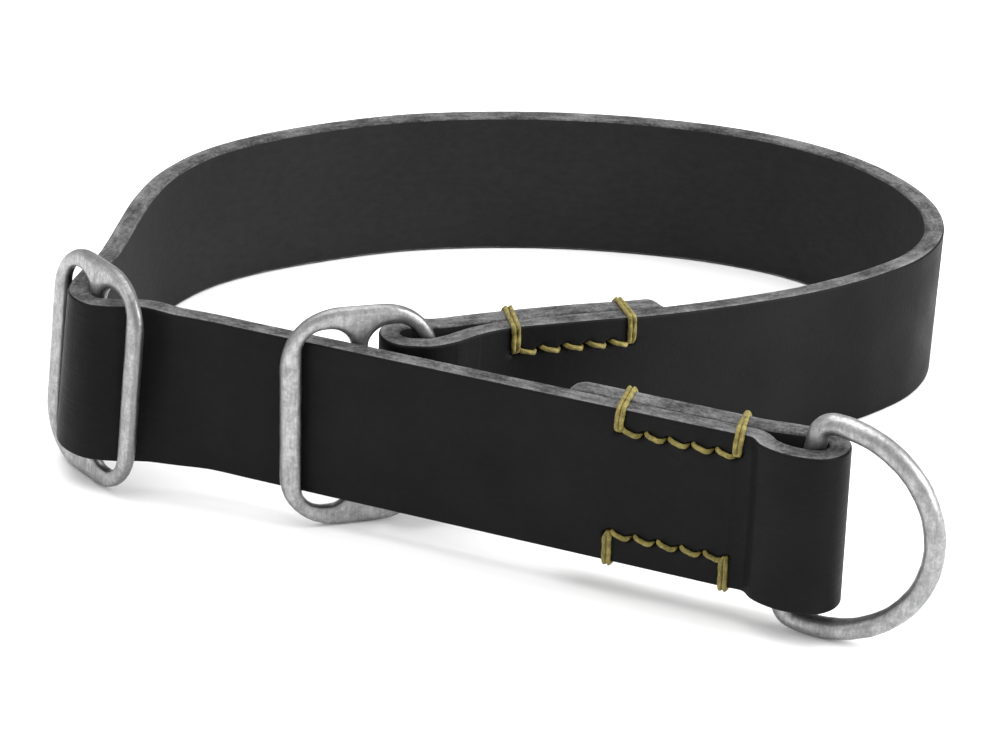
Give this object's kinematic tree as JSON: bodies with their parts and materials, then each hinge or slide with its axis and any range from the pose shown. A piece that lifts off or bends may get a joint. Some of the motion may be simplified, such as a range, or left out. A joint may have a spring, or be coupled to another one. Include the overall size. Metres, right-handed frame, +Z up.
{
  "type": "martingale collar",
  "caption": "Leather slip collar with a limited closing neck loop: a strap threaded through two three-bar slides, with a D-ring sewn into its pull end.",
  "frame": {"origin": "on the ground under the middle of the collar's footprint, with the collar standing on its strap's edge", "axes": "+Z up across the strap's width, +X towards the D-ring's side, +Y towards the back of the neck loop"},
  "size_m": [0.1432, 0.1473, 0.036],
  "materials": {
    "leather": "satin",
    "ring_metal": "tumbled matt",
    "thread": "waxed"
  },
  "bodies": {
    "neck_loop": {"strap_neck": "leather", "strap_bend": "leather", "loop_seam_top": "thread", "loop_seam_bottom": "thread"},
    "stop": {"stop_slide": "ring_metal"},
    "pull_end": {"strap_front": "leather", "pull_seam_top": "thread", "pull_seam_bottom": "thread"},
    "slip": {"slip_ring": "ring_metal"},
    "leash_ring": {"d_ring": "ring_metal"}
  },
  "joints": [
    {"name": "tighten", "type": "slide", "parent": "neck_loop", "child": "stop", "axis": [0.9215, -0.3885, 0], "range_m": [-0.01, 0.016], "deforming": ["strap_bend"]},
    {"name": "adjust_stop", "type": "slide", "parent": "stop", "child": "pull_end", "axis": [0.9215, -0.3885, 0], "range_m": [-0.011, 0.008], "deforming": ["strap_bend"]},
    {"name": "slip_ring_rock", "type": "hinge", "parent": "neck_loop", "child": "slip", "pos_m": [-0.0117, -0.03154, 0.018], "axis": [0, 0, 1], "range_deg": [-1, 1.6]},
    {"name": "d_ring_swing", "type": "hinge", "parent": "pull_end", "child": "leash_ring", "pos_m": [0.04256, -0.06423, 0.01842], "axis": [0.1282, -0.0541, 0.9903], "range_deg": [-120, 120]}
  ]
}
